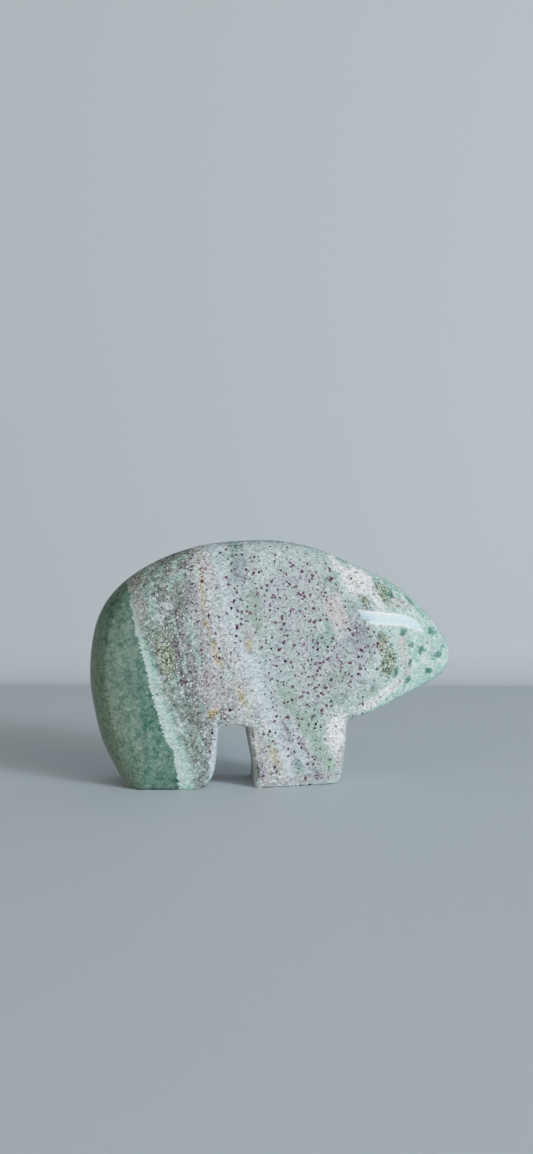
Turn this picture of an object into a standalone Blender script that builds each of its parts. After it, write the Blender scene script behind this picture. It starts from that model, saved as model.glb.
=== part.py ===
"""A bear carved from one slab of green jasper and polished all over.

The slab keeps its flat look: two broad faces, a rounded edge between them, and a gap sawn out
between the hind leg and the front leg. The feet are ground flat, so the bear stands on them.
The nose points along +X, the broad faces look along -Y and +Y, and the ground is z = 0.
"""

from collections import namedtuple

import bmesh
import bpy
import numpy as np

# Overall size, in metres
LENGTH = 0.076
HEIGHT = 0.0509
THICKNESS = 0.025

# How far the rounded edge reaches in from the outline at its corners, from the heel round
HEEL_EDGE = 0.0060
HAUNCH_EDGE = 0.0100
RUMP_EDGE = 0.0090
FOREHEAD_EDGE = 0.0055
CHIN_EDGE = 0.0045
THROAT_EDGE = 0.0045
TOE_EDGE = 0.0060
GAP_EDGE = 0.0014
HIND_TOE_EDGE = 0.0056
WIDEST_EDGE = 0.85  # share of the half thickness that an edge may take up

# The section of the rounded edge, from the mid-plane to the broad face: how far in from the outline
# and how far short of the face, as shares of the edge's reach
EDGE_SECTION = [(0, 1), (0.19, 0.19), (1, 0)]

# The feet are carved this much too long and then ground flat
SOLE_ALLOWANCE = 0.0020
GRIND_DEPTH = 0.010

# Half thickness along the body, as shares of half of THICKNESS, at hundredths of LENGTH
GIRTH = [(0, 0.90), (20, 1.0), (35, 0.95), (45, 0.89), (54, 0.825), (68, 0.713), (73, 0.658), (78, 0.583)]
GIRTH += [(84, 0.493), (90, 0.402), (96, 0.312), (100, 0.25)]
FACE_CROWN = 0.05  # share of the thickness lost from mid-height to the back and the soles

# Above the brow the side of the head turns in with this radius. The line gives the brow's height in
# hundredths of HEIGHT, and the turn sets in over the neck, both at hundredths of LENGTH.
BROW_RADIUS = 0.029
BROW_LINE = [(58, 66.7), (72, 61.3), (79, 60.1), (86, 59), (92, 56.3), (96, 48)]
BROW_SETS_IN = [(47.5, 0), (70, 1)]

# Below the knee the faces of the front leg turn in towards the sole: by these shares of half of
# THICKNESS at the ground, and with the square of the depth below the knee
KNEE = 27  # hundredths of HEIGHT
SHIN_TAPER = [(40, 0), (46, 0.14), (59, 0.155), (68, 0.29)]

# Rows and columns of the cage on a broad face
HIND_COLUMNS = 4
GAP_COLUMNS = 2
FRONT_COLUMNS = 4
HEAD_COLUMNS = 6
BODY_ROWS = 5
LEG_ROWS = 3
UP, DOWN, FORWARD, BACKWARD = (0, 1), (0, -1), (1, 0), (-1, 0)
RELAXATIONS = 200
FINE_POINTS = 400

# The corners at the throat and in the gap are sawn, so they stay sharper than the polished ones
SAWN = 0.45  # share of a full crease

# The outline, from the heel round. A stretch starts at a corner and runs through its other
# points to the next corner. Points are in hundredths of LENGTH forward from the rump and of
# HEIGHT up from the ground. A stretch also holds the reach of the edge and the crease at its
# corner, and its direction and count of cells on the cage.
Stretch = namedtuple("Stretch", "corner points edge crease step count")
COLUMNS = HIND_COLUMNS + GAP_COLUMNS + FRONT_COLUMNS + HEAD_COLUMNS
BACK = [(10.5, 84.1), (18.8, 91.6), (29.8, 97.4), (41.0, 99.6), (51.0, 99.8), (63.3, 96.2)]
NECK = [(70.0, 92.1), (77.3, 87.2), (83.0, 83.2), (88.8, 76.9)]
OUTLINE = [
    Stretch((12.0, 0), [(8.0, 5.4), (3.7, 17.0)], HEEL_EDGE, 0, UP, LEG_ROWS),
    Stretch((1.5, 29.0), [(0.1, 40.5), (0.0, 50.0), (0.8, 60.0), (2.5, 69.0)], HAUNCH_EDGE, 0, UP, BODY_ROWS),
    Stretch((5.2, 76.0), BACK + NECK, RUMP_EDGE, 0, FORWARD, COLUMNS),
    Stretch((94.5, 68.6), [(98.6, 60.0), (100.0, 53.4), (99.0, 47.5)], FOREHEAD_EDGE, 0, DOWN, BODY_ROWS),
    Stretch((95.9, 42.8), [(88.8, 37.0), (80.5, 30.9), (75.5, 27.7)], CHIN_EDGE, 0, BACKWARD, HEAD_COLUMNS),
    Stretch((70.7, 26.1), [(70.7, 19.0), (70.4, 11.0), (69.9, 3.6)], THROAT_EDGE, SAWN, DOWN, LEG_ROWS),
    Stretch((67.8, 0), [(57.0, 0)], TOE_EDGE, 0, BACKWARD, FRONT_COLUMNS),
    Stretch((44.5, 0), [(45.0, 8.0), (43.9, 15.0)], GAP_EDGE, SAWN, UP, LEG_ROWS),
    Stretch((43.2, 24.3), [(40.0, 25.5)], GAP_EDGE, SAWN, BACKWARD, GAP_COLUMNS),
    Stretch((35.1, 24.6), [(34.6, 15.0), (34.2, 7.0), (33.0, 2.0)], GAP_EDGE, SAWN, DOWN, LEG_ROWS),
    Stretch((28.6, 0), [(20.0, 0)], HIND_TOE_EDGE, 0, BACKWARD, HIND_COLUMNS),
]

SUBDIVISIONS = 1
WELD = 0.00001


def placed(shares):
    """Outline points in metres, from the middle of the bear, with the soles left too long."""
    points = (np.array(shares, float) / 100 - (0.5, 0)) * (LENGTH, HEIGHT)
    points[points[:, 1] == 0, 1] = -SOLE_ALLOWANCE
    return points


def spaced(points, count):
    """Evenly spaced points on a smooth curve through the given ones, without the last."""
    chords = np.linalg.norm(np.diff(points, axis=0), axis=1)
    at = np.concatenate([[0], np.cumsum(chords)])
    slopes = np.gradient(points, at, axis=0)
    fine = np.linspace(0, at[-1], FINE_POINTS)
    piece = np.clip(np.searchsorted(at, fine, "right") - 1, 0, len(chords) - 1)
    step = chords[piece][:, None]
    t = (fine - at[piece])[:, None] / step
    curve = (
        (1 + 2 * t) * (1 - t) ** 2 * points[piece]
        + t**2 * (3 - 2 * t) * points[piece + 1]
        + t * (1 - t) ** 2 * step * slopes[piece]
        - t**2 * (1 - t) * step * slopes[piece + 1]
    )
    run = np.concatenate([[0], np.cumsum(np.linalg.norm(np.diff(curve, axis=0), axis=1))])
    places = np.linspace(0, run[-1], count + 1)[:-1]
    return np.stack([np.interp(places, run, curve[:, axis]) for axis in (0, 1)], axis=1)


def read_off(table, points):
    """Values of a table that runs along the body, at points of the outline's plane."""
    stations, values = np.array(table, float).T
    return np.interp(points[:, 0] / LENGTH * 100 + 50, stations, values)


def half_thickness(points):
    """How far a broad face stands from the mid-plane at points of the outline's plane."""
    half = THICKNESS / 2 * read_off(GIRTH, points)
    level = points[:, 1] / HEIGHT * 2 - 1
    brow = read_off(BROW_LINE, points) / 100 * HEIGHT
    lean = np.maximum(points[:, 1] - brow, 0) ** 2 / (2 * BROW_RADIUS)
    shin = np.maximum(1 - points[:, 1] / HEIGHT * 100 / KNEE, 0) ** 2
    half = half * (1 - FACE_CROWN * level**2) - THICKNESS / 2 * read_off(SHIN_TAPER, points) * shin
    return half - read_off(BROW_SETS_IN, points) * lean


def cage():
    """One half of the bear, open at its mid-plane, as a coarse mesh."""
    outline, edge, steps, creases = [], [], [], []
    for this, following in zip(OUTLINE, OUTLINE[1:] + OUTLINE[:1]):
        points = placed([this.corner, *this.points, following.corner])
        outline.append(spaced(points, this.count))
        edge.append(np.linspace(this.edge, following.edge, this.count + 1)[:-1])
        steps += [this.step] * this.count
        creases += [this.crease] + [0] * (this.count - 1)
    outline = np.concatenate(outline)
    edge = np.minimum(np.concatenate(edge), WIDEST_EDGE * half_thickness(outline))
    lattice = np.cumsum([(0, -LEG_ROWS)] + steps[:-1], axis=0)

    # A subdivision draws each point in towards its neighbours, so it starts further out
    before, after = np.roll(outline, 1, axis=0), np.roll(outline, -1, axis=0)
    pushed = outline + (outline - (before + after) / 2) / 2
    outline = np.where(np.array(creases)[:, None] > 0, outline, pushed)
    along = after - before
    inward = np.stack([along[:, 1], -along[:, 0]], axis=1)
    inward /= np.linalg.norm(inward, axis=1)[:, None]

    bm = bmesh.new()
    crease = bm.edges.layers.float.new("crease_edge")
    verts = [[bm.verts.new((x, 0, z)) for x, z in outline]]
    for share_in, share_short in EDGE_SECTION:
        ring = outline + inward * (share_in * edge)[:, None]
        depth = half_thickness(ring) - share_short * edge
        verts.append([bm.verts.new((x, -y, z)) for (x, z), y in zip(ring, depth)])
    count = len(outline)
    for outer, inner in zip(verts, verts[1:]):
        for i in range(count):
            j = (i + 1) % count
            bm.faces.new((outer[i], outer[j], inner[j], inner[i]))
        for i in range(count):
            bm.edges.get((outer[i], inner[i]))[crease] = creases[i]

    at = {tuple(place): vert for place, vert in zip(lattice.tolist(), verts[-1])}
    fill_face(bm, at)
    return bm


def fill_face(bm, at):
    """The broad face inside its rim: a lattice whose inner points lie midway between neighbours."""
    legs = range(0, HIND_COLUMNS + 1)
    arms = range(HIND_COLUMNS + GAP_COLUMNS, HIND_COLUMNS + GAP_COLUMNS + FRONT_COLUMNS + 1)
    columns = range(0, arms[-1] + HEAD_COLUMNS + 1)
    places = [(i, j) for i in columns for j in range(0, BODY_ROWS + 1)]
    places += [(i, -j) for i in [*legs, *arms] for j in range(1, LEG_ROWS + 1)]
    inner = [place for place in places if place not in at]
    spot = {place: np.array((vert.co.x, vert.co.z)) for place, vert in at.items()}
    middle = np.mean(list(spot.values()), axis=0)
    spot.update({place: middle for place in inner})
    for _ in range(RELAXATIONS):
        for i, j in inner:
            spot[i, j] = (spot[i - 1, j] + spot[i + 1, j] + spot[i, j - 1] + spot[i, j + 1]) / 4
    for place in inner:
        (depth,) = half_thickness(spot[place][None])
        at[place] = bm.verts.new((spot[place][0], -depth, spot[place][1]))
    for i, j in places:
        corners = [(i, j), (i, j + 1), (i + 1, j + 1), (i + 1, j)]
        in_gap = j < 0 and i not in [*legs[:-1], *arms[:-1]]
        if not in_gap and all(corner in at for corner in corners):
            bm.faces.new([at[corner] for corner in corners])


def stone():
    """Polished green jasper: a pale grey-green with a soft gloss."""
    material = bpy.data.materials.new("green_jasper")
    material.use_nodes = True
    shader = material.node_tree.nodes["Principled BSDF"]
    shader.inputs["Base Color"].default_value = (0.36, 0.43, 0.38, 1)
    shader.inputs["Roughness"].default_value = 0.18
    shader.inputs["Metallic"].default_value = 0
    return material


def ground_cutter(collection):
    """The grinding wheel's flat: everything below z = 0."""
    bpy.ops.mesh.primitive_cube_add(size=1, location=(0, 0, -GRIND_DEPTH / 2))
    cutter = bpy.context.object
    cutter.name = "ground"
    cutter.scale = (2 * LENGTH, 2 * THICKNESS, GRIND_DEPTH)
    cutter.hide_render = True
    cutter.display_type = "WIRE"
    for holder in list(cutter.users_collection):
        holder.objects.unlink(cutter)
    collection.objects.link(cutter)
    return cutter


def bear(collection, ground):
    bm = cage()
    bmesh.ops.recalc_face_normals(bm, faces=bm.faces)
    mesh = bpy.data.meshes.new("bear_carving")
    bm.to_mesh(mesh)
    bm.free()
    mesh.shade_smooth()
    mesh.materials.append(stone())
    body = bpy.data.objects.new("bear_carving", mesh)
    collection.objects.link(body)

    mirror = body.modifiers.new("other half", "MIRROR")
    mirror.use_axis = (False, True, False)
    mirror.use_clip = True
    mirror.merge_threshold = WELD
    smooth = body.modifiers.new("polish", "SUBSURF")
    smooth.levels = SUBDIVISIONS
    smooth.render_levels = SUBDIVISIONS
    grind = body.modifiers.new("flat soles", "BOOLEAN")
    grind.operation = "DIFFERENCE"
    grind.solver = "EXACT"
    grind.object = ground
    return body


def main():
    for old in list(bpy.data.objects):
        bpy.data.objects.remove(old)
    scene = bpy.context.scene
    scene.unit_settings.system = "METRIC"
    part = bpy.data.collections.new("jasper_bear")
    cutters = bpy.data.collections.new("cutters")
    scene.collection.children.link(part)
    scene.collection.children.link(cutters)
    bear(part, ground_cutter(cutters))


main()
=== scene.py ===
import math
from functools import partial

import bmesh
import bpy
import numpy as np
from mathutils import Matrix, Vector


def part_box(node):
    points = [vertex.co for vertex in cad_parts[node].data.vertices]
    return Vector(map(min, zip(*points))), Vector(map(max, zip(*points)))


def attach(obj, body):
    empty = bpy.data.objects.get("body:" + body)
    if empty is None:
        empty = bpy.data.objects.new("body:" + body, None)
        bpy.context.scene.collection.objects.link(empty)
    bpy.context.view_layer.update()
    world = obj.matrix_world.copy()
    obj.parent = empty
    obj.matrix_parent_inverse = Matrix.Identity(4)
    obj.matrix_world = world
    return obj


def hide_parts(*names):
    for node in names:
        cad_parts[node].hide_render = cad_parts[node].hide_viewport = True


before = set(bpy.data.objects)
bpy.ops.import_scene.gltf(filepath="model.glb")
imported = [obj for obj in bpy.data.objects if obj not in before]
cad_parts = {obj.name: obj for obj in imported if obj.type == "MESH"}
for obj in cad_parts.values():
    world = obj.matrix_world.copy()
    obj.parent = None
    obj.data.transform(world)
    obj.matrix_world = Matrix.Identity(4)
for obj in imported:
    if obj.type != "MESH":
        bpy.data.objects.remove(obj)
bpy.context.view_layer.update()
bearLow, bearHigh = (np.array(corner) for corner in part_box("bear_carving"))
print("frame loaded:", [round(side * 1000, 1) for side in bearHigh - bearLow], "mm")

# the camera

shot = dict(
    distance=0.2335,              # from the lens to the bear's mid-plane
    height=0.0414,                # lens above the ground
    aside=0.0012,                 # lens left of the bear's middle
    turn=math.radians(4.0),       # the hind end is turned towards the lens
    tipUp=math.radians(0.42),
    lean=math.radians(0.5),       # the picture's verticals lean to the right at the bottom
    focal=1100 / 1154,            # as a share of the picture's long side
    sensor=36,                    # mm
    nearest=0.01,                 # nothing closer to the lens is drawn
)


def placeCamera():
    # the view runs along +Y turned about the upright and tipped up, and its sides lean round it
    ahead = Vector((math.sin(shot["turn"]), math.cos(shot["turn"]), 0))
    right = Vector((math.cos(shot["turn"]), -math.sin(shot["turn"]), 0))
    upright = Vector((0, 0, 1))
    look = math.cos(shot["tipUp"]) * ahead + math.sin(shot["tipUp"]) * upright
    top = math.cos(shot["tipUp"]) * upright - math.sin(shot["tipUp"]) * ahead
    leanRight = math.cos(shot["lean"]) * right + math.sin(shot["lean"]) * top
    leanTop = math.cos(shot["lean"]) * top - math.sin(shot["lean"]) * right
    spot = -shot["distance"] * ahead - shot["aside"] * right + shot["height"] * upright
    facing = Matrix((leanRight, leanTop, -look)).transposed().to_4x4()
    data = bpy.data.cameras.new("camera")
    data.sensor_width = shot["sensor"]
    data.lens = shot["focal"] * shot["sensor"]
    data.clip_start = shot["nearest"]
    camera = bpy.data.objects.new("camera", data)
    camera.matrix_world = Matrix.Translation(spot) @ facing
    bpy.context.scene.collection.objects.link(camera)
    bpy.context.scene.camera = camera


placeCamera()
print("camera placed")

# small helpers


def fromHex(code):
    # sRGB hex to linear: below 0.04045 divided by 12.92, above it the 2.4 power curve
    shares = [int(code[i : i + 2], 16) / 255 for i in (1, 3, 5)]
    return tuple(c / 12.92 if c <= 0.04045 else ((c + 0.055) / 1.055) ** 2.4 for c in shares) + (1,)


def addNode(tree, kind, sockets=None, stops=(), **settings):
    # one node, its settings, its sockets either linked or given a value, and the stops of a ramp
    node = tree.nodes.new("ShaderNode" + kind)
    for name, value in settings.items():
        setattr(node, name, value)
    for index, (place, code) in enumerate(stops):
        stop = node.color_ramp.elements[index] if index < 2 else node.color_ramp.elements.new(place)
        stop.position, stop.color = place, fromHex(code)
    for name, value in (sockets or {}).items():
        if isinstance(value, bpy.types.NodeSocket):
            tree.links.new(value, node.inputs[name])
        else:
            node.inputs[name].default_value = value
    return node


def softNoise(points, cell, seed, tableSize=4096):
    # random values at the corners of cubes of side cell, blended smoothly between the eight corners
    table = np.random.default_rng(seed).uniform(-1, 1, tableSize)
    mixers = np.array((73856093, 19349663, 83492791))  # large odd numbers, so near corners draw far apart
    base = np.floor(points / cell).astype(np.int64)
    part = points / cell - base
    part = part * part * (3 - 2 * part)
    total = np.zeros(len(points))
    for corner in np.ndindex(2, 2, 2):
        drawn = table[(base + corner) @ mixers % tableSize]
        total += drawn * np.abs(1 - np.array(corner) - part).prod(axis=1)
    return total


def ramp(value, start, end):
    # 0 before start, 1 after end, and a smooth rise between
    share = np.clip((value - start) / (end - start), 0, 1)
    return share * share * (3 - 2 * share)


# the carving's form

sawn = 0.45                       # crease of the corners left by the saw, as a share of a full crease
# a list of pairs gives a value at places along the bear, in hundredths of its length from behind
carving = dict(
    # cells of the cage
    hindColumns=4, gapColumns=2, frontColumns=4, headColumns=6, bodyRows=5, legRows=3,
    # thickness as a share of the slab's
    girth=[(0, 0.90), (20, 1.0), (35, 0.95), (45, 0.89), (54, 0.825), (68, 0.713), (73, 0.658),
           (78, 0.583), (84, 0.493), (90, 0.402), (96, 0.312), (100, 0.25)],
    crown=0.05,                   # thickness lost from mid-height to the back and the soles
    browRadius=0.029,             # metres
    # height of the brow in hundredths, and how much of its turn inward there is
    browLine=[(58, 66.7), (72, 61.3), (79, 60.1), (86, 59), (92, 56.3), (96, 48)],
    browSetsIn=[(47.5, 0), (70, 1)],
    knee=27,                      # hundredths of the height
    # thickness lost at the soles, as a share of the slab's
    shinTaper=[(40, 0), (46, 0.14), (59, 0.155), (68, 0.29)],
    # the rounded edge's rings: shares of its reach moved inward and left short of the face
    edgeSection=[(0, 1), (0.19, 0.19), (1, 0)],
    widestEdge=0.85,              # share of the half thickness
    soleAllowance=0.002,          # metres of stone below the ground plane, for grinding the soles
    fillRounds=800,               # rounds of averaging that spread the lattice over the face
    finest=3,                     # subdivisions
)
up, down, forward, backward = (0, 1), (0, -1), (1, 0), (-1, 0)
backLine = [(10.5, 84.1), (18.8, 91.6), (29.8, 97.4), (41.0, 99.6), (51.0, 99.8), (63.3, 96.2)]
neckLine = [(70.0, 92.1), (77.3, 87.2), (83.0, 83.2), (88.8, 76.9)]
wholeLength = sum(carving[part] for part in ("hindColumns", "gapColumns", "frontColumns", "headColumns"))
# each stretch of the outline: its corner, its other points, the reach of its rounded edge in metres,
# its crease, and its direction and count of cells. Points are hundredths of the length and height.
stretches = [
    ((12.0, 0), [(8.0, 5.4), (3.7, 17.0)], 0.0060, 0, up, carving["legRows"]),
    ((1.5, 29.0), [(0.1, 40.5), (0.0, 50.0), (0.8, 60.0), (2.5, 69.0)], 0.0100, 0, up,
     carving["bodyRows"]),
    ((5.2, 76.0), backLine + neckLine, 0.0090, 0, forward, wholeLength),
    ((94.5, 68.6), [(98.6, 60.0), (100.0, 53.4), (99.0, 47.5)], 0.0055, 0, down, carving["bodyRows"]),
    ((95.9, 42.8), [(88.8, 37.0), (80.5, 30.9), (75.5, 27.7)], 0.0045, 0, backward,
     carving["headColumns"]),
    ((70.7, 26.1), [(70.7, 19.0), (70.4, 11.0), (69.9, 3.6)], 0.0045, sawn, down, carving["legRows"]),
    ((67.8, 0), [(57.0, 0)], 0.0060, 0, backward, carving["frontColumns"]),
    ((44.5, 0), [(45.0, 8.0), (43.9, 15.0)], 0.0014, sawn, up, carving["legRows"]),
    ((43.2, 24.3), [(40.0, 25.5)], 0.0014, sawn, backward, carving["gapColumns"]),
    ((35.1, 24.6), [(34.6, 15.0), (34.2, 7.0), (33.0, 2.0)], 0.0014, sawn, down, carving["legRows"]),
    ((28.6, 0), [(20.0, 0)], 0.0056, 0, backward, carving["hindColumns"]),
]
bearSize = bearHigh - bearLow


def placed(shares):
    # hundredths of the length and height to metres, with the soles left too long
    points = (np.array(shares, float) / 100 - (0.5, 0)) * bearSize[[0, 2]]
    points[points[:, 1] == 0, 1] = -carving["soleAllowance"]
    return points


def readOff(table, points):
    # a list's value at each point's place along the bear, straight between its entries
    stations, values = np.array(table, float).T
    return np.interp(points[:, 0] / bearSize[0] * 100 + 50, stations, values)


def halfThickness(points):
    # half the slab times the girth there, less a crown that grows with the square of the distance
    # from mid-height, less two turns inward: above the brow and, on the front leg, below the knee
    half = bearSize[1] / 2 * readOff(carving["girth"], points)
    level = points[:, 1] / bearSize[2] * 2 - 1
    brow = readOff(carving["browLine"], points) / 100 * bearSize[2]
    turn = np.maximum(points[:, 1] - brow, 0) ** 2 / (2 * carving["browRadius"])
    shin = np.maximum(1 - points[:, 1] / bearSize[2] * 100 / carving["knee"], 0) ** 2
    half = half * (1 - carving["crown"] * level**2)
    half -= bearSize[1] / 2 * readOff(carving["shinTaper"], points) * shin
    return half - readOff(carving["browSetsIn"], points) * turn


def evenRun(points, count, fine=400):
    # a cubic curve through the points, its slopes from their neighbours, worked out at many fine
    # places and cut into even lengths
    chords = np.linalg.norm(np.diff(points, axis=0), axis=1)
    at = np.concatenate([[0], np.cumsum(chords)])
    slopes = np.gradient(points, at, axis=0)
    places = np.linspace(0, at[-1], fine)
    piece = np.clip(np.searchsorted(at, places, "right") - 1, 0, len(chords) - 1)
    step = chords[piece][:, None]
    t = (places - at[piece])[:, None] / step
    curve = (1 + 2 * t) * (1 - t) ** 2 * points[piece] + t**2 * (3 - 2 * t) * points[piece + 1]
    curve += t * (1 - t) * step * ((1 - t) * slopes[piece] - t * slopes[piece + 1])
    run = np.concatenate([[0], np.cumsum(np.linalg.norm(np.diff(curve, axis=0), axis=1))])
    stops = np.linspace(0, run[-1], count + 1)[:-1]
    return np.stack([np.interp(stops, run, curve[:, axis]) for axis in (0, 1)], axis=1)


def slabOutline():
    # the outline's points, the reach of the edge and the crease at each, and its places on the lattice
    outline, reach, crease, steps = [], [], [], []
    for this, following in zip(stretches, stretches[1:] + stretches[:1]):
        corner, points, edge, sharp, step, count = this
        outline.append(evenRun(placed([corner, *points, following[0]]), count))
        reach.append(np.linspace(edge, following[2], count + 1)[:-1])
        crease += [sharp] + [0] * (count - 1)
        steps += [step] * count
    outline = np.concatenate(outline)
    reach = np.minimum(np.concatenate(reach), carving["widestEdge"] * halfThickness(outline))
    lattice = np.cumsum([(0, 0)] + steps[:-1], axis=0)
    return outline, reach, np.array(crease), lattice


def slabCage():
    # rings from the mid-plane round the edge to the broad face: a ring is the outline moved inward by
    # a share of the reach, at a depth short of the face by another share. Inside the last ring a
    # lattice fills the face, each point midway between its four neighbours. The far half is a mirror.
    outline, reach, crease, lattice = slabOutline()
    before, after = np.roll(outline, 1, axis=0), np.roll(outline, -1, axis=0)
    inward = np.stack([(after - before)[:, 1], -(after - before)[:, 0]], axis=1)
    inward /= np.linalg.norm(inward, axis=1)[:, None]
    pushed = outline + (outline - (before + after) / 2) / 2
    outline = np.where(crease[:, None] > 0, outline, pushed)
    rings = [np.insert(outline, 1, 0, axis=1)]
    for shareIn, shareShort in carving["edgeSection"]:
        ring = outline + inward * (shareIn * reach)[:, None]
        rings.append(np.insert(ring, 1, shareShort * reach - halfThickness(ring), axis=1))
    count = len(outline)
    index = np.arange(len(rings) * count).reshape(len(rings), count)
    following = np.roll(index, -1, axis=1)
    faces = [np.stack([index[:-1], following[:-1], following[1:], index[1:]], axis=-1).reshape(-1, 4)]

    shape = lattice.max(axis=0) + 1
    at = np.full(shape, -1)
    at[tuple(lattice.T)] = index[-1]
    spot = np.zeros((*shape, 2))
    spot[tuple(lattice.T)] = rings[-1][:, [0, 2]]
    column, row = np.indices(shape)
    legs = (column < carving["hindColumns"]) & (column > 0)
    firstFront = carving["hindColumns"] + carving["gapColumns"]
    legs |= (column > firstFront) & (column < firstFront + carving["frontColumns"])
    inside = (column > 0) & (column < shape[0] - 1) & (row < shape[1] - 1) & (row > 0)
    inside &= (legs | (row > carving["legRows"])) & (at < 0)
    spot[inside] = rings[-1][:, [0, 2]].mean(axis=0)
    for _ in range(carving["fillRounds"]):
        middle = sum(np.roll(spot, shift, axis=axis) for shift in (1, -1) for axis in (0, 1)) / 4
        spot[inside] = middle[inside]
    at[inside] = index.size + np.arange(inside.sum())
    fill = np.insert(spot[inside], 1, -halfThickness(spot[inside]), axis=1)
    cells = np.stack([at[:-1, :-1], at[:-1, 1:], at[1:, 1:], at[1:, :-1]], axis=-1).reshape(-1, 4)
    faces.append(cells[(cells >= 0).all(axis=1)])

    near = np.concatenate([*rings, fill])
    faces = np.concatenate(faces)
    mirrored = np.arange(len(near)) + len(near) - count
    mirrored[:count] = np.arange(count)
    points = np.concatenate([near, near[count:] * (1, -1, 1)])
    faces = np.concatenate([faces[:, ::-1], mirrored[faces]])
    ribs = np.stack([index[:-1], index[1:]], axis=-1)[:, crease > 0].reshape(-1, 2)
    return points, faces, np.concatenate([ribs, mirrored[ribs]])


def fineMesh(name, points, faces, ribs):
    # the cage with its creases, subdivided, as a plain mesh of its own
    cage = bpy.data.meshes.new(name)
    cage.from_pydata(points.tolist(), [], faces.tolist())
    ends = np.empty(len(cage.edges) * 2, np.int64)
    cage.edges.foreach_get("vertices", ends)
    keys = np.sort(ends.reshape(-1, 2), axis=1) @ (1, len(points))
    marked = np.isin(keys, np.sort(ribs, axis=1) @ (1, len(points)))
    cage.attributes.new("crease_edge", "FLOAT", "EDGE").data.foreach_set("value", marked * sawn)
    holder = bpy.data.objects.new(name, cage)
    bpy.context.scene.collection.objects.link(holder)
    smooth = holder.modifiers.new("polish", "SUBSURF")
    smooth.levels = smooth.render_levels = carving["finest"]
    evaluated = holder.evaluated_get(bpy.context.evaluated_depsgraph_get())
    fine = bpy.data.meshes.new_from_object(evaluated)
    bpy.data.objects.remove(holder)
    return fine


def coordinates(mesh, of="vertices", what="co"):
    # one row of three numbers for each point of the mesh
    values = np.empty(len(getattr(mesh, of)) * 3, np.float32)
    getattr(mesh, of).foreach_get(what, values)
    return values.reshape(-1, 3).astype(float)


# marks of the carver's hand

relief = dict(
    # metres
    polishWave=0.009, polishDepth=0.00004,
    sawWave=0.0011, sawDepth=0.00009,
    gapFrom=-0.0135, gapTo=-0.0020, gapTop=0.0140, gapFade=0.002, gapTopFade=0.001,
    chipWave=0.0015, chipDepth=0.0006, chippedFrom=-0.0065, chippedTo=-0.0025, chippedTop=0.0125,
    chipFade=0.0015,
    soleChamfer=0.00022, soleStrip=0.0008, weld=1e-7,
    # start and end of a rise over a part of the normal, or over the noise
    gapWalls=(-0.8, -0.3), facingBack=(0.15, 0.5), facingSide=(0.25, 0.55), chipNoise=(-0.1, 0.4),
)


def gapShare(points, normals):
    # 1 on the sawn surfaces inside the gap, 0 on the polished stone: a rise at each end of the gap and
    # below its top, times a rise as the surface turns away from the slab's broad faces
    share = ramp(points[:, 0], relief["gapFrom"], relief["gapFrom"] + relief["gapFade"])
    share *= ramp(-points[:, 0], -relief["gapTo"], relief["gapFade"] - relief["gapTo"])
    share *= ramp(-points[:, 2], -relief["gapTop"], relief["gapTopFade"] - relief["gapTop"])
    return share * ramp(-np.abs(normals[:, 1]), *relief["gapWalls"])


def chips(points, normals):
    # how deep the front leg's two upright corners beside the gap are chipped, in metres: the share by
    # which the surface faces both back and sideways, times the noise, times the full depth
    edge = ramp(-normals[:, 0], *relief["facingBack"])
    edge *= ramp(np.abs(normals[:, 1]), *relief["facingSide"])
    edge *= (points[:, 0] > relief["chippedFrom"]) & (points[:, 0] < relief["chippedTo"])
    edge *= ramp(-points[:, 2], -relief["chippedTop"], relief["chipFade"] - relief["chippedTop"])
    bitten = ramp(softNoise(points, relief["chipWave"], seed=8), *relief["chipNoise"])
    return edge * bitten * relief["chipDepth"]


def handWork(mesh):
    # each point moves along its normal by the long low waves of hand polishing, plus the saw's
    # roughness inside the gap, less the depth of the chips
    points = coordinates(mesh)
    normals = coordinates(mesh, "vertex_normals", "vector")
    wave = softNoise(points, relief["polishWave"], seed=3) * relief["polishDepth"]
    rough = softNoise(points, relief["sawWave"], seed=5)
    rough = rough + softNoise(points, relief["sawWave"] / 2, seed=6) / 2
    chipped = chips(points, normals)
    wave += gapShare(points, normals) * rough * relief["sawDepth"] - chipped
    moved = points + normals * wave[:, None]
    mesh.vertices.foreach_set("co", moved.ravel())
    mesh.update()
    print("worked by hand: deepest chip", round(chipped.max() * 1000, 2), "mm")


def fitToFrame(mesh):
    # stretched by a hair so that its sides and top meet the solid's box
    points = coordinates(mesh)
    low, high = points.min(axis=0), points.max(axis=0)
    sides = slice(0, 2)
    scale = (bearHigh - bearLow)[sides] / (high - low)[sides]
    points[:, sides] = bearLow[sides] + (points - low)[:, sides] * scale
    points[:, 2] *= bearHigh[2] / high[2]
    mesh.vertices.foreach_set("co", points.ravel())
    mesh.update()


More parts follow.
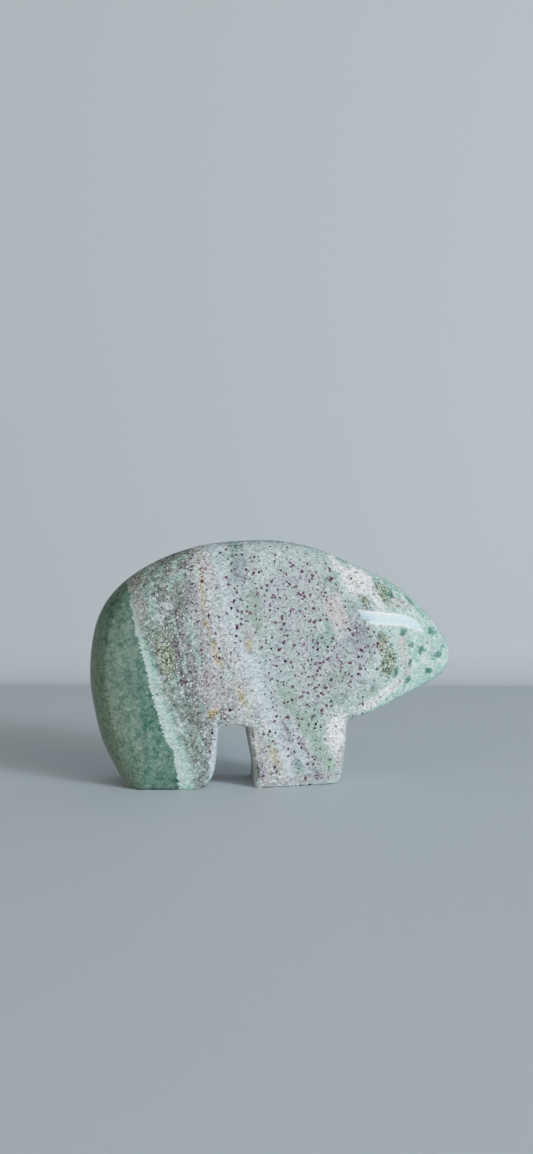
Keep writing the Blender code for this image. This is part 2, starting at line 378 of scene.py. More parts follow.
def grindSoles(mesh):
    # everything under the ground plane is cut away and each foot is closed with one flat face
    bm = bmesh.new()
    bm.from_mesh(mesh)
    everything = bm.verts[:] + bm.edges[:] + bm.faces[:]
    cut = bmesh.ops.bisect_plane(
        bm, geom=everything, plane_co=(0, 0, 0), plane_no=(0, 0, -1), clear_outer=True,
        dist=relief["weld"],
    )
    rims = [item for item in cut["geom_cut"] if isinstance(item, bmesh.types.BMEdge)]
    rimPoints = {point for edge in rims for point in edge.verts}
    soles = bmesh.ops.edgeloop_fill(bm, edges=rims)["faces"]
    bmesh.ops.recalc_face_normals(bm, faces=bm.faces)
    # the ground edge is broken by a small chamfer
    bmesh.ops.inset_individual(bm, faces=soles, thickness=relief["soleChamfer"])
    for point in rimPoints:
        point.co.z += relief["soleChamfer"]
    # the soles are cut into strips, because the bands are worked out at points and run on across them
    strips = list(soles)
    for station in np.arange(bearLow[0], bearHigh[0], relief["soleStrip"]):
        # a dictionary keeps each edge and point once, in the same order every run
        around = dict.fromkeys(part for face in strips for part in (*face.edges, *face.verts))
        cut = bmesh.ops.bisect_plane(
            bm, geom=strips + list(around), plane_co=(station, 0, 0), plane_no=(1, 0, 0),
            dist=relief["weld"],
        )
        strips = [item for item in cut["geom"] if isinstance(item, bmesh.types.BMFace)]
    for edge in rims:
        edge.smooth = False
    bm.to_mesh(mesh)
    bm.free()
    print("soles ground flat:", len(soles), "feet")


# the stone

stone = dict(
    lean=0.06,                    # how far its bands shift along the bear for each unit through the slab
    drift=0.006,                  # how far its patches wander on the way to the far side
    driftCell=0.011,              # metres from one wander to the next
    driftFrom=0.1,                # share of the thickness, next to the near side, that is free of it
    # lines of the bands on the near side, each a list of height and place along the bear in mm
    seam=[(0, -19.2), (4.2, -19.6), (8.3, -20.7), (11.3, -22.5), (15.3, -23.5), (19.9, -24.9),
          (25.2, -26.2), (30.8, -27.8), (37.2, -29.1), (42.2, -30.0), (46, -30.6)],
    veinWidth=[(0, 3.8), (7, 3.1), (20, 2.9), (25, 2.3), (31, 1.2), (37, 0.7), (42, 0.5)],
    olive=[(0, -12.0), (3, -12.2), (10.4, -12.8), (16, -14.2), (22.3, -17.2), (30.3, -19.3),
           (38.2, -18.7), (46.3, -18.4)],
    ochre=[(3, -0.3), (6, -1.5), (9, -3.0), (14.1, -4.7), (17.2, -5.9), (20.2, -7.1), (24.2, -9.2),
           (27.3, -10.8), (30.3, -12.9), (32.7, -13.9), (35.3, -14.7), (40.3, -15.2), (46.3, -15.6)],
    lavender=[(2, 3.4), (5.8, 2.2), (12, 0.1), (19.2, -2.7), (24.2, -4.7), (29.3, -7.2), (34.3, -9.7),
              (40.3, -11.0), (46.3, -12.4)],
    lavenderWidth=[(0, 3.2), (20, 3.0), (30, 2.0), (46, 1.8)],
    neck=[(14, 18.0), (17, 19.3), (20, 21.0), (26, 22.9), (30, 23.3), (36.4, 22.6), (40.6, 20.2),
          (46.3, 13.0), (50, 8)],
    fissure=[(0.8, 1.9), (1.4, 1.0), (2.2, -0.2), (3.1, -1.3), (4.2, -2.4)],
    noCrack=9,                    # mm, stands where there is no crack
    noseReach=14,                 # mm from the neck line to the head's full colour
    bandStretch=0.35,             # how slowly the streaks change along the bands
    fibreStretch=0.22,            # how slowly the fibres change across the pale vein
)
# patches of one colour: place along the bear, height, half length and half width in mm, and the
# angle of the long axis in degrees
patches = dict(
    quartz=[(17.2, 42.6, 3.7, 2.8, -40), (12.8, 46.4, 2.6, 0.6, -60), (21.2, 39.0, 3.4, 0.8, -58),
            (13.3, 11.0, 3.9, 2.3, 84), (24.4, 20.0, 2.8, 0.8, 34),
            (20.6, 17.1, 2.8, 0.9, 28)],
    rose=[(6.6, 1.6, 9.0, 1.2, 2), (-13.6, 43.0, 4.0, 1.7, 100), (-5.6, 31.0, 2.6, 1.6, 100),
          (-12.6, 20.4, 5.0, 3.0, 110)],
    blush=[(26.8, 37.7, 2.4, 1.2, -15), (27.4, 26.8, 5.2, 1.1, 98), (25.4, 20.6, 2.0, 0.7, 40),
           (14.0, 5.6, 1.9, 0.9, 80), (12.6, 36.0, 4.2, 2.0, 112)],
    moss=[(33.4, 31.9, 0.9, 0.6, -70), (31.2, 28.1, 1.0, 0.7, 70), (35.0, 27.1, 1.0, 0.7, 20),
          (32.8, 23.7, 0.8, 0.6, 0), (28.3, 21.9, 0.8, 0.6, 60), (27.1, 31.7, 1.0, 0.6, 60),
          (28.9, 38.5, 1.4, 0.5, -50), (24.6, 39.6, 0.8, 0.5, -60), (25.6, 23.6, 1.2, 0.5, 70),
          (28.6, 25.4, 0.8, 0.4, 90), (29.1, 29.2, 0.8, 0.4, 90)],
    rim=[(30.4, 36.9, 6.0, 0.9, -50), (34.6, 31.4, 3.0, 0.8, -68), (25.6, 41.6, 3.4, 0.7, -42),
         (-9.2, 47.6, 2.4, 1.2, 70)],
    olive=[(-22.2, 27.2, 4.4, 1.7, 104), (22.7, 29.6, 2.6, 1.6, 100), (23.0, 40.1, 3.8, 1.9, -52),
           (24.0, 25.4, 3.6, 2.0, 78), (18.8, 38.4, 2.0, 0.9, -50)],
    maroon=[(-19.9, 28.4, 3.4, 0.5, 103), (-18.3, 21.8, 4.4, 0.5, 102), (2.6, 11.8, 2.6, 0.45, 115),
            (5.9, 8.6, 1.6, 0.5, 125), (9.0, 2.8, 1.4, 0.6, 120)],
    frostAndLitRim=[(-1.4, 17.0, 6.5, 1.4, 112), (2.2, 7.6, 3.4, 1.1, 112), (-5.6, 26.6, 2.6, 0.9, 115),
           # the last of these, a thin upright strip on the hind leg's edge beside the gap, is painted
           # light: the rounded edge lit from the right
           (4.6, 9.4, 4.0, 1.0, 112), (-12.2, 7.2, 6.4, 0.8, 88)],
    lavender=[(17.6, 30.4, 3.4, 2.6, 100), (19.2, 35.6, 1.8, 1.2, 30), (20.4, 21.0, 1.6, 1.2, 60),
              (-7.6, 44.6, 3.2, 1.7, 84)],
    ochre=[(-12.5, 15.7, 1.7, 1.0, 10), (-14.0, 33.2, 1.5, 0.4, 112), (-12.6, 29.6, 1.0, 0.5, 120)],
    sand=[(0.2, 6.4, 2.9, 0.9, 112), (-6.7, 19.0, 2.6, 0.8, 112), (-14.9, 39.4, 4.4, 0.45, 94),
          (-5.4, 29.2, 1.6, 0.7, 100), (-11.8, 26.8, 2.6, 0.6, 118)],
    leaf=[(-4.2, 36.6, 4.6, 1.4, 100), (2.9, 18.2, 3.6, 1.5, 122),
          (6.6, 12.8, 3.6, 1.5, 122), (10.0, 7.2, 3.8, 1.5, 122), (14.6, 47.0, 1.4, 0.7, -30),
          (12.8, 22.6, 2.4, 1.2, 20), (19.8, 19.4, 2.4, 1.0, 30)],
    mint=[(9.6, 30.6, 3.6, 2.2, 60), (12.6, 41.4, 3.2, 1.6, 100), (8.6, 12.6, 4.4, 2.0, 100),
          (17.0, 36.6, 2.6, 1.4, -30), (13.4, 18.2, 3.0, 1.6, 10), (-8.2, 48.0, 2.8, 1.8, 80),
          (5.2, 4.6, 2.4, 1.4, 100)],
    speckled=[(3.6, 30.6, 6.0, 2.6, 70), (9.0, 22.6, 5.4, 2.4, 60), (18.0, 29.6, 3.6, 2.6, 90),
              (1.4, 15.0, 4.6, 1.2, 110), (2.4, 9.4, 3.6, 0.9, 125), (9.2, 3.4, 2.0, 1.0, 120),
              (-7.2, 42.6, 4.0, 1.8, 80), (3.0, 38.6, 5.0, 3.4, 30), (-17.0, 31.6, 4.6, 1.4, 100),
              (-3.4, 38.0, 2.6, 1.2, 60), (14.6, 24.0, 4.0, 2.4, 30), (5.9, 8.6, 1.8, 0.8, 125)],
)


def lineAt(line, height):
    # a line's place or width at each height, straight between its points
    heights, places = np.array(line, float).T
    return np.interp(height, heights, places)


def patchField(along, height, ellipses, lowest=-3.0):
    # for each patch 1 at its middle, falling to 0 at the rim of its ellipse and below 0 outside
    field = np.full(len(along), lowest)
    for x, z, long, short, angle in ellipses:
        c, s = math.cos(math.radians(angle)), math.sin(math.radians(angle))
        dx, dz = along - x, height - z
        field = np.maximum(field, 1 - np.hypot((dx * c + dz * s) / long, (dz * c - dx * s) / short))
    return field


def bandFields(mesh):
    # writes what the stone's colours follow, as one value at each point of the mesh: the distance
    # from a band's line, the even rise from band to band, and how deep inside a patch the point is
    points = coordinates(mesh)
    normals = coordinates(mesh, "vertex_normals", "vector")
    half = halfThickness(points[:, [0, 2]])
    fromNear = points[:, 1] + half
    along = (points[:, 0] + stone["lean"] * fromNear) * 1000
    height = points[:, 2] * 1000
    seam = lineAt(stone["seam"], height)
    width = lineAt(stone["veinWidth"], height)
    lavender = lineAt(stone["lavender"], height)
    lavenderHalf = lineAt(stone["lavenderWidth"], height) / 2
    neck = lineAt(stone["neck"], height)
    borders = [seam, seam + width, lineAt(stone["olive"], height), lineAt(stone["ochre"], height),
               lavender - lavenderHalf, lavender + lavenderHalf, neck, neck + stone["noseReach"]]
    strata = sum(np.clip((along - a) / (b - a), 0, 1) for a, b in zip(borders, borders[1:]))
    crackFoot, crackTop = stone["fissure"][0][0], stone["fissure"][-1][0]
    cracked = (height > crackFoot) & (height < crackTop)
    fields = dict(
        seam=along - seam,
        veinShare=(along - seam) / width,
        strata=strata / (len(borders) - 1),
        ochreVein=along - lineAt(stone["ochre"], height),
        fissure=np.where(cracked, along - lineAt(stone["fissure"], height), stone["noCrack"]),
        sawn=gapShare(points, normals),
    )
    wander = ramp(fromNear / (2 * half), stone["driftFrom"], 1) * stone["drift"] * 1000
    flat = points * (1, 0, 1)
    along = along + wander * 2 * softNoise(flat, stone["driftCell"], seed=11)
    height = height + wander * 2 * softNoise(flat, stone["driftCell"], seed=12)
    for name, ellipses in patches.items():
        fields[name + "Patch"] = patchField(along, height, ellipses)
    for name, values in fields.items():
        mesh.attributes.new(name, "FLOAT", "POINT").data.foreach_set("value", values.astype(np.float32))


colours = dict(
    # along the bands, from the pale vein at 0 to the nose at 1
    bands=[(0.0, "#a5d4c8"), (0.09, "#9fc9ba"), (0.14, "#737d70"), (0.25, "#696c62"), (0.34, "#7a7771"),
           (0.42, "#a6a6a1"), (0.5, "#b2b1af"), (0.56, "#b6bdbb"), (0.61, "#b8cbc9"), (0.68, "#bed1d3"),
           (0.74, "#adc0b6"), (0.83, "#a6b7ad"), (0.9, "#b3eeda"), (1.0, "#91dcc6")],
    # how strongly the grains show there
    grit=[(0.0, "#595959"), (0.09, "#6a6a6a"), (0.15, "#dadada"), (0.3, "#f0f0f0"), (0.54, "#ffffff"),
          (0.6, "#e0e0e0"), (0.68, "#d0d0d0"), (0.76, "#dadada"), (0.87, "#dadada"), (0.93, "#d0d0d0"),
          (1.0, "#bcbcbc")],
    # how many specks there are there
    specks=[(0.0, "#000000"), (0.2, "#4a4a4a"), (0.34, "#959595"), (0.5, "#aaaaaa"), (0.58, "#7c7c7c"),
            (0.66, "#aaaaaa"), (0.71, "#e7e7e7"), (0.84, "#ffffff"), (0.89, "#000000")],
    # how many white flecks of quartz there are there
    flecks=[(0.08, "#000000"), (0.16, "#bcbcbc"), (0.3, "#cbcbcb"), (0.42, "#f0f0f0"), (0.55, "#f0f0f0"),
            (0.62, "#aaaaaa"), (0.74, "#959595"), (0.86, "#959595"), (1.0, "#595959")],
    # single grains as factors on what lies round them: #bcbcbc changes nothing
    ironGrains=[(0.0, "#7a5f68"), (0.12, "#95878d"), (0.24, "#b0abad"), (0.5, "#bebebe"),
                (0.74, "#cbcbc8"), (0.88, "#e8e6df"), (1.0, "#ffffff")],
    mossGrains=[(0.0, "#4e7262"), (0.14, "#74907f"), (0.28, "#a9b5ae"), (0.5, "#bcbcbc"),
                (0.85, "#c9ccca"), (1.0, "#e4e8e5")],
    quartzGrains=[(0.0, "#6a6259"), (0.14, "#8f8a82"), (0.28, "#b2afaa"), (0.42, "#c2c2c2"),
                  (0.8, "#cacaca"), (1.0, "#e2e2e1")],
    haunch=[(0.34, "#335344"), (0.44, "#4d6456"), (0.52, "#5f7161"), (0.6, "#687969"), (0.72, "#7c8a7b")],
    haunchGrains=[(0.0, "#879890"), (0.2, "#b0b6b3"), (0.5, "#bcbcbc"), (0.85, "#c6c8c6"),
                  (1.0, "#e0e3df")],
    vein=[(0.32, "#9fa9a5"), (0.5, "#bcbcbc"), (0.68, "#d4d7d5")],
)
# kinds of patch: the size in mm by which their rim is frayed, the amount and its detail, their colour,
# the values where they start and are full, and their strength
layers = dict(
    mint=(1.4, 1.8, 3, "#779a89", -0.4, 0.6, 0.8),
    leaf=(1.2, 1.6, 3, "#84a586", -0.5, 0.3, 0.9),
    # pale frosty patches of the stone, and the same colour as a painted lit edge on the hind leg beside the
    # gap
    frostAndLitRim=(1.2, 1.8, 3, "#c6d7e0", -0.5, 0.5, 0.85),
    lavender=(1.2, 1.6, 3, "#747f7e", -0.4, 0.6, 0.8),
    rose=(1.0, 1.8, 3, "#a39997", -0.3, 0.5, 0.8),
    olive=(0.8, 1.8, 4, "#656b4e", -0.3, 0.4, 0.9),
    maroon=(0.7, 1.6, 3, "#5a444a", -0.3, 0.5, 0.75),
    sand=(0.9, 1.8, 3, "#a6966a", -0.5, 0.4, 0.8),
    quartz=(0.7, 1.9, 4, "#fbfdfa", -0.25, 0.15, 0.97),
    blush=(0.8, 1.8, 3, "#c9b7ad", -0.3, 0.4, 0.85),
    ochre=(0.5, 2.6, 3, "#967d38", -0.1, 0.6, 0.85),
    moss=(0.5, 2.0, 4, "#34493d", -0.4, 0.3, 0.85),
    rim=(0.4, 3.6, 4, "#4a7861", 0.3, 0.8, 0.55),
)
# kinds of speck: their spacing in mm, their smallest and largest radius as shares of it, their colour
# and their strength
specks = dict(
    sugar=(0.56, 0.16, 0.36, "#fafbf7", 0.85),
    cream=(0.62, 0.16, 0.38, "#f2f3e6", 0.9),
    fineGreen=(0.6, 0.2, 0.42, "#55806c", 0.7),
    largeGreen=(1.2, 0.12, 0.36, "#33564a", 0.9),
    fineMaroon=(0.55, 0.2, 0.42, "#7f6269", 0.6),
    largeMaroon=(0.98, 0.26, 0.44, "#5a2a3a", 0.95),
    darkMaroon=(1.15, 0.12, 0.34, "#431a2a", 1.0),
)
speckRim = 0.08                   # share of the spacing in which a speck's colour fades out
# sizes in mm: of two layers of crystal grains, a coarse one and a fine one
grains = dict(iron=(0.4, 0.27), moss=(0.48, 0.3), quartz=(0.5, 0.3), vein=(0.36, 0.25), haunch=(0.42, 0.28))
# and of the cloudy patterns, with the distance by which the bend moves a place
clouding = dict(
    bend=0.55, bendBy=0.7, streaks=2.4, clouds=3.0, mottle=1.7, breaks=0.8, blots=0.7, fibres=0.3,
    haunch=1.6, gloss=0.6,
)


def frayed(add, place, value, size, amount, detail=2):
    # the value with its level lines frayed: noise of that size in mm moves it by up to half the amount
    noise = add("TexNoise", {"Vector": place, "Scale": 1 / size, "Detail": detail})
    centred = add("Math", {0: noise.outputs["Fac"], 1: 0.5}, operation="SUBTRACT").outputs[0]
    return add("Math", {0: centred, 1: amount, 2: value}, operation="MULTIPLY_ADD").outputs[0]


def stained(add, under, over, value, start, end, strength=1.0):
    # a colour laid over what is there, from nothing where the value is start to the strength at end
    ends = {"Value": value, "From Min": start, "From Max": end, "To Max": strength}
    mask = add("MapRange", ends, interpolation_type="SMOOTHSTEP").outputs[0]
    over = over if isinstance(over, bpy.types.NodeSocket) else fromHex(over)
    return add("Mix", {0: mask, 6: under, 7: over}, data_type="RGBA").outputs[2]


def shaded(add, under, shade, strength):
    # what is there times twice the shade, so that a shade of one half changes nothing
    both = add("VectorMath", {0: under, 1: shade}, operation="MULTIPLY").outputs[0]
    both = add("VectorMath", {0: both, "Scale": 2.0}, operation="SCALE").outputs[0]
    return add("Mix", {0: strength, 6: under, 7: both}, data_type="RGBA").outputs[2]


def grained(add, place, under, size, strength, stops):
    # crystal grains: each cell of that size in mm takes one of the shades by chance
    cells = add("TexVoronoi", {"Vector": place, "Scale": 1 / size})
    chance = add("SeparateColor", {0: cells.outputs["Color"]}).outputs[0]
    return shaded(add, under, add("ValToRGB", {"Fac": chance}, stops).outputs["Color"], strength)


def patched(add, place, under, field, name):
    # one kind of patch laid over what is there: its field with a frayed rim, stained with its colour
    size, amount, detail, code, start, end, strength = layers[name]
    value = frayed(add, place, field[name + "Patch"], size, amount, detail)
    return value, stained(add, under, code, value, start, end, strength)


def specked(add, place, under, density, name):
    # specks: one in each cell, shown where the cell's own chance is under the density, its radius
    # drawn between the smallest and the largest
    spacing, smallest, largest, code, strength = specks[name]
    cells = add("TexVoronoi", {"Vector": place, "Scale": 1 / spacing})
    chances = add("SeparateColor", {0: cells.outputs["Color"]})
    drawn = {"Value": chances.outputs[1], "To Min": smallest, "To Max": largest}
    radius = add("MapRange", drawn).outputs[0]
    shown = add("Math", {0: chances.outputs[0], 1: density}, operation="LESS_THAN").outputs[0]
    depth = add("Math", {0: radius, 1: cells.outputs["Distance"]}, operation="SUBTRACT").outputs[0]
    depth = add("Math", {0: depth, 1: shown}, operation="MULTIPLY").outputs[0]
    return stained(add, under, code, depth, 0.0, speckRim, strength)


def greenJasper():
    # green jasper, sawn as a slab and polished with fine grit: a glassy skin over grains of quartz, so
    # the eye sees soft lights with clean borders on top and speckled bands just under them
    material = bpy.data.materials.new("polishedGreenJasper")
    material.use_nodes = True
    tree = material.node_tree
    add = partial(addNode, tree)
    shader = tree.nodes["Principled BSDF"]
    place = add("TexCoord").outputs["Object"]
    mm = add("VectorMath", {0: place, "Scale": 1000}, operation="SCALE").outputs[0]
    names = ["seam", "veinShare", "strata", "ochreVein", "fissure", "sawn"]
    names += [name + "Patch" for name in patches]
    field = {name: add("Attribute", attribute_name=name).outputs["Fac"] for name in names}
    # a place in mm moved by noise, which bends specks and grains out of round
    bend = add("TexNoise", {"Vector": mm, "Scale": 1 / clouding["bend"], "Detail": 1}).outputs["Color"]
    bent = add("VectorMath", {0: bend, "Scale": clouding["bendBy"]}, operation="SCALE").outputs[0]
    bent = add("VectorMath", {0: bent, 1: mm}, operation="ADD").outputs[0]
    # a place in mm that runs across the bands, through the slab and, stretched, along the bands
    axes = add("SeparateXYZ", {0: mm})
    slow = add("Math", {0: axes.outputs[2], 1: stone["bandStretch"]}, operation="MULTIPLY").outputs[0]
    alongBands = add("CombineXYZ", {0: field["seam"], 1: axes.outputs[1], 2: slow}).outputs[0]
    # and one for the fibres that stand across the pale vein
    squeezed = add("Math", {0: field["seam"], 1: stone["fibreStretch"]}, operation="MULTIPLY").outputs[0]
    acrossVein = add("CombineXYZ", {0: squeezed, 1: axes.outputs[1], 2: axes.outputs[2]}).outputs[0]

    # the bands, their borders frayed coarse and then fine
    seam = frayed(add, mm, field["seam"], 2.4, 0.8)
    strata = frayed(add, mm, field["strata"], 4.5, 0.1)
    strata = frayed(add, mm, strata, 0.9, 0.1, 4)
    colour = add("ValToRGB", {"Fac": strata}, colours["bands"]).outputs["Color"]

    # mint green streaks along the bands, then clouds, lilac white and dark
    settings = {"Vector": alongBands, "Scale": 1 / clouding["streaks"], "Detail": 5}
    streaks = add("TexNoise", settings).outputs["Fac"]
    colour = stained(add, colour, "#8db3a1", streaks, 0.5, 0.64, 0.65)
    settings = {"Vector": mm, "Scale": 1 / clouding["clouds"], "Detail": 6, "Roughness": 0.66}
    clouds = add("TexNoise", settings).outputs["Fac"]
    colour = stained(add, colour, "#c3cacd", clouds, 0.52, 0.66, 0.65)
    colour = stained(add, colour, "#737a74", clouds, 0.45, 0.3, 0.5)

    # the head is mottled, green and white, a millimetre or two across
    head = add("MapRange", {"Value": strata, "From Min": 0.86, "From Max": 0.9}).outputs[0]
    settings = {"Vector": bent, "Scale": 1 / clouding["mottle"], "Detail": 6, "Roughness": 0.62}
    mottle = add("TexNoise", settings).outputs["Fac"]
    dark = add("Math", {0: mottle, 1: head}, operation="MULTIPLY").outputs[0]
    colour = stained(add, colour, "#6bac93", dark, 0.5, 0.64, 0.7)
    light = add("Math", {0: 1.0, 1: mottle}, operation="SUBTRACT").outputs[0]
    light = add("Math", {0: light, 1: head}, operation="MULTIPLY").outputs[0]
    colour = stained(add, colour, "#e6f7ee", light, 0.48, 0.62, 0.85)

    # patches, each kind laid over the ones before it, with a grey stain high up beside the pale vein
    patch = {}
    for name in ("mint", "leaf", "frostAndLitRim", "lavender", "rose", "olive", "maroon"):
        patch[name], colour = patched(add, mm, colour, field, name)
    high = add("MapRange", {"Value": axes.outputs[2], "From Min": 24, "From Max": 41}).outputs[0]
    beside = add("MapRange", {"Value": seam, "From Min": 4.5, "From Max": 1.5}).outputs[0]
    beside = add("Math", {0: high, 1: beside}, operation="MULTIPLY").outputs[0]
    colour = stained(add, colour, "#7d7d73", beside, 0.1, 0.8, 0.7)
    for name in ("sand", "quartz", "blush"):
        patch[name], colour = patched(add, mm, colour, field, name)
    inQuartz = add("MapRange", {"Value": patch["quartz"], "From Min": -0.3, "From Max": 0.2}).outputs[0]

    # ochre in a thin broken vein and in spots
    onVein = frayed(add, mm, field["ochreVein"], 1.2, 1.5, 4)
    onVein = add("Math", {0: onVein}, operation="ABSOLUTE").outputs[0]
    broken = add("TexNoise", {"Vector": mm, "Scale": 1 / clouding["breaks"], "Detail": 3}).outputs["Fac"]
    onVein = add("Math", {0: broken, 1: -2.6, 2: onVein}, operation="MULTIPLY_ADD").outputs[0]
    colour = stained(add, colour, "#988758", onVein, -0.92, -1.5, 0.65)
    patch["ochre"], colour = patched(add, mm, colour, field, "ochre")

    # crystal grains: iron-dark ones on the body, stronger where it is olive and fainter where it is leaf
    # green, moss green ones on the head and quartz in its patches, then white and cream flecks
    gritty = add("ValToRGB", {"Fac": strata}, colours["grit"]).outputs["Color"]
    body = add("MapRange", {"Value": strata, "From Min": 0.9, "From Max": 0.86}).outputs[0]
    iron = add("Math", {0: gritty, 1: body}, operation="MULTIPLY").outputs[0]
    mossy = add("Math", {0: gritty, 1: head}, operation="MULTIPLY").outputs[0]
    ends = {"Value": patch["olive"], "From Min": -0.2, "From Max": 0.4, "To Min": iron, "To Max": 1.0}
    iron = add("MapRange", ends).outputs[0]
    ends = {"Value": patch["leaf"], "From Min": -0.3, "From Max": 0.4, "To Min": 1.0, "To Max": 0.5}
    calm = add("MapRange", ends).outputs[0]
    iron = add("Math", {0: iron, 1: calm}, operation="MULTIPLY").outputs[0]
    for size in grains["iron"]:
        colour = grained(add, mm, colour, size, iron, colours["ironGrains"])
    for size in grains["moss"]:
        colour = grained(add, mm, colour, size, mossy, colours["mossGrains"])
    for size, where in zip(grains["quartz"], (bent, mm)):
        colour = grained(add, where, colour, size, inQuartz, colours["quartzGrains"])
    sugar = add("ValToRGB", {"Fac": strata}, colours["flecks"]).outputs["Color"]
    colour = specked(add, bent, colour, sugar, "sugar")
    inOlive = add("MapRange", {"Value": patch["olive"], "From Min": -0.5, "From Max": 0.5}).outputs[0]
    colour = specked(add, bent, colour, inOlive, "cream")

    # moss green blotches on the head, a green cast along its rim and green specks all over it
    for name in ("moss", "rim"):
        patch[name], colour = patched(add, mm, colour, field, name)
    many = add("Math", {0: head, 1: 0.45}, operation="MULTIPLY").outputs[0]
    for name in ("fineGreen", "largeGreen"):
        colour = specked(add, bent, colour, many, name)

    # maroon: a faint haze where the specks crowd, then fine, large and dark specks, and a few blots
    crowd = frayed(add, mm, field["speckledPatch"], 2.6, 1.8)
    ends = {"Value": crowd, "From Min": -1.5, "From Max": 0.2, "To Min": 0.36}
    crowded = add("MapRange", ends).outputs[0]
    density = add("ValToRGB", {"Fac": strata}, colours["specks"]).outputs["Color"]
    density = add("Math", {0: density, 1: crowded}, operation="MULTIPLY").outputs[0]
    clear = add("MapRange", {"Value": inQuartz, "To Min": 1.0, "To Max": 0.15}).outputs[0]
    density = add("Math", {0: density, 1: clear}, operation="MULTIPLY").outputs[0]
    colour = stained(add, colour, "#8d8088", density, 0.3, 0.8, 0.3)
    for name, where in (("fineMaroon", bent), ("largeMaroon", bent), ("darkMaroon", mm)):
        colour = specked(add, where, colour, density, name)
    blots = add("TexNoise", {"Vector": mm, "Scale": 1 / clouding["blots"], "Detail": 2}).outputs["Fac"]
    blots = add("Math", {0: density, 1: 0.11, 2: blots}, operation="MULTIPLY_ADD").outputs[0]
    colour = stained(add, colour, "#6f434e", blots, 0.7, 0.74, 0.85)

    # the pale vein, greyer high up: fibres across it and a cream fringe, then the haunch's greens,
    # which meet it at the seam in fine teeth
    settings = {"Vector": acrossVein, "Scale": 1 / clouding["fibres"], "Detail": 2}
    fibres = add("TexNoise", settings).outputs["Fac"]
    fibres = add("ValToRGB", {"Fac": fibres}, colours["vein"]).outputs["Color"]
    inVein = add("MapRange", {"Value": field["veinShare"], "From Min": 1.3, "From Max": 0.7}).outputs[0]
    colour = shaded(add, colour, fibres, inVein)
    teeth = frayed(add, acrossVein, seam, 0.45, 2.2, 3)
    cream = frayed(add, acrossVein, field["veinShare"], 0.5, 1.0, 3)
    colour = stained(add, colour, "#c0cac3", cream, 0.5, 0.15, 0.8)
    for size in grains["vein"]:
        colour = grained(add, mm, colour, size, inVein, colours["haunchGrains"])
    high = add("Math", {0: high, 1: inVein}, operation="MULTIPLY").outputs[0]
    colour = stained(add, colour, "#8c8b82", high, 0.1, 1.0, 0.75)
    settings = {"Vector": mm, "Scale": 1 / clouding["haunch"], "Detail": 8, "Roughness": 0.7}
    greens = add("TexNoise", settings).outputs["Fac"]
    green = add("ValToRGB", {"Fac": greens}, colours["haunch"]).outputs["Color"]
    # greyer and lighter olive away from the seam, towards the rump's rim: partly the stone's olive grey,
    # partly a painted grey sheen
    green = stained(add, green, "#78826f", field["seam"], -5.0, -11.0, 0.65)
    green = stained(add, green, "#3c5a49", seam, -1.0, -0.1, 0.4)
    for size in grains["haunch"]:
        green = grained(add, mm, green, size, 0.7, colours["haunchGrains"])
    colour = stained(add, colour, green, teeth, 0.08, -0.08)

    # a hairline crack in the front foot
    crack = add("Math", {0: frayed(add, mm, field["fissure"], 1.0, 0.6)}, operation="ABSOLUTE").outputs[0]
    colour = stained(add, colour, "#4c4a48", crack, 0.2, 0.06, 0.85)

    # the sawn surfaces in the gap, which are not polished, made paler: partly their own dust of the saw,
    # partly painted light where the gap lies in shade
    colour = stained(add, colour, "#c4bbb5", field["sawn"], 0.1, 0.9, 0.5)
    tree.links.new(colour, shader.inputs["Base Color"])

    # the polish is a little uneven, in its roughness and in a very low bump
    gloss = add("TexNoise", {"Vector": mm, "Scale": 1 / clouding["gloss"], "Detail": 3}).outputs["Fac"]
    ends = {"Value": gloss, "From Min": 0.4, "From Max": 0.7, "To Min": 0.03, "To Max": 0.1}
    polished = add("MapRange", ends).outputs[0]
    rough = add("Mix", {0: field["sawn"], 2: polished, 3: 0.6}).outputs[0]
    tree.links.new(rough, shader.inputs["Roughness"])
    shader.inputs["IOR"].default_value = 1.54  # quartz
    shader.inputs["Specular IOR Level"].default_value = 0.34  # below the usual 0.5, matched to the polish
    bump = add("Bump", {"Strength": 0.25, "Distance": 0.00002, "Height": gloss})
    tree.links.new(bump.outputs[0], shader.inputs["Normal"])
    return material


def makeBear():
    # the cage subdivided, moved by the hand's marks, stretched to the solid's box and cut at the ground
    mesh = fineMesh("bear", *slabCage())
    handWork(mesh)
    fitToFrame(mesh)
    grindSoles(mesh)
    mesh.shade_smooth()
    bandFields(mesh)
    mesh.materials.append(greenJasper())
    bear = bpy.data.objects.new("bear", mesh)
    bpy.context.scene.collection.objects.link(bear)
    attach(bear, "root")
    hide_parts("bear_carving")
    triangles = sum(len(face.vertices) - 2 for face in mesh.polygons)
    print("bear made:", len(mesh.vertices), "points,", triangles, "triangles")


makeBear()

# floor, backdrop and light

studio = dict(
    wide=1.6, front=-1.6, back=0.235, cove=0.02, tall=0.9,
    coveSteps=12,                 # points round the cove
    floorColour="#bbbdbe",
    floorRoughness=0.6,
    roomColour="#e6f3fa",
    roomStrength=0.6,
    ceilingStrength=0.25,
    mirroredShare=0.3,            # how much of the room's light shows in the polish
    aim=(0.02, 0, 0.035),
)
# each light: degrees to the right and up seen from the bear, metres away, size, watts, colour, and
# whether it shows as a reflection on the polish
lights = dict(
    window=(44.6, 14, 0.8, (0.21, 0.12), 6.6, "#7ad4ff", True),
    windowHead=(44.6, 18.2, 0.8, (0.21, 0.012), 0.9, "#fff6ee", True),
    windowSill=(44.6, 9.8, 0.8, (0.21, 0.012), 0.6, "#fff6ee", True),
    softbox=(42, 10, 1.1, (0.9, 0.9), 14.6, "#fff2eb", False),
    fill=(-50, 4, 1.2, (1.2, 1.0), 4.5, "#fff2e6", True),
)


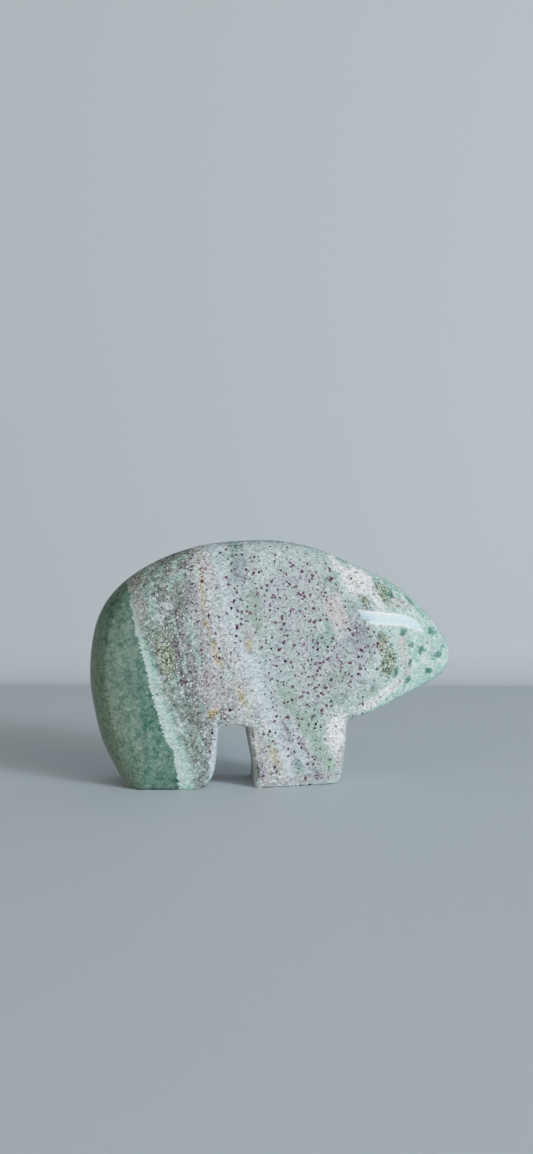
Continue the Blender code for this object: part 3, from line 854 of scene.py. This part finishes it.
def makeSweep():
    # a profile along y and z, flat, then a quarter round, then upright, carried across the width
    turn = np.linspace(0, math.pi / 2, studio["coveSteps"])
    curve = studio["back"] - studio["cove"] * (1 - np.sin(turn))
    y = np.concatenate([[studio["front"]], curve, [studio["back"]]])
    z = np.concatenate([[0], studio["cove"] * (1 - np.cos(turn)), [studio["tall"]]])
    sides = np.array((-studio["wide"], studio["wide"]))
    points = np.stack([np.repeat(sides, len(y)), np.tile(y, 2), np.tile(z, 2)], axis=1)
    first = np.arange(len(y) - 1)
    faces = np.stack([first, first + len(y), first + len(y) + 1, first + 1], axis=1)
    mesh = bpy.data.meshes.new("floor")
    mesh.from_pydata(points.tolist(), [], faces.tolist())
    mesh.shade_smooth()
    material = bpy.data.materials.new("paleBoard")
    material.use_nodes = True
    board = material.node_tree.nodes["Principled BSDF"]
    board.inputs["Base Color"].default_value = fromHex(studio["floorColour"])
    board.inputs["Roughness"].default_value = studio["floorRoughness"]
    mesh.materials.append(material)
    sweep = bpy.data.objects.new("floor", mesh)
    bpy.context.scene.collection.objects.link(sweep)
    sweep.visible_glossy = False  # the polish mirrors the dim room and the window, not the board


def addLight(name, across, above, away, size, watts, colour, reflected):
    # a rectangle on a sphere round the aim, facing it
    across, above = math.radians(across), math.radians(above)
    level = math.cos(above)
    towards = Vector((math.sin(across) * level, -math.cos(across) * level, math.sin(above)))
    data = bpy.data.lights.new(name, "AREA")
    data.shape = "RECTANGLE"
    data.size, data.size_y = size
    data.energy = watts
    data.color = fromHex(colour)[:3]
    light = bpy.data.objects.new(name, data)
    light.location = Vector(studio["aim"]) + away * towards
    light.visible_camera = False
    light.visible_glossy = reflected
    light.rotation_euler = (-towards).to_track_quat("-Z", "Y").to_euler()
    bpy.context.scene.collection.objects.link(light)


def makeRoom():
    # light from all round, its strength running from the room's to the ceiling's as it comes from
    # higher up, and only a share of it is mirrored
    world = bpy.data.worlds.new("softRoom")
    world.use_nodes = True
    add = partial(addNode, world.node_tree)
    room = world.node_tree.nodes["Background"]
    height = add("SeparateXYZ", {0: add("TexCoord").outputs["Generated"]}).outputs[2]
    ends = {"Value": height, "From Min": 0.1, "From Max": 0.8}
    ends.update({"To Min": studio["roomStrength"], "To Max": studio["ceilingStrength"]})
    strength = add("MapRange", ends).outputs[0]
    mirrored = add("LightPath").outputs["Is Glossy Ray"]
    ends = {"Value": mirrored, "To Min": 1.0, "To Max": studio["mirroredShare"]}
    dimmed = add("MapRange", ends).outputs[0]
    strength = add("Math", {0: strength, 1: dimmed}, operation="MULTIPLY").outputs[0]
    world.node_tree.links.new(strength, room.inputs["Strength"])
    room.inputs["Color"].default_value = fromHex(studio["roomColour"])
    bpy.context.scene.world = world


makeSweep()
makeRoom()
for name, settings in lights.items():
    addLight(name, *settings)
print("stage and light made; view transform", bpy.context.scene.view_settings.view_transform)
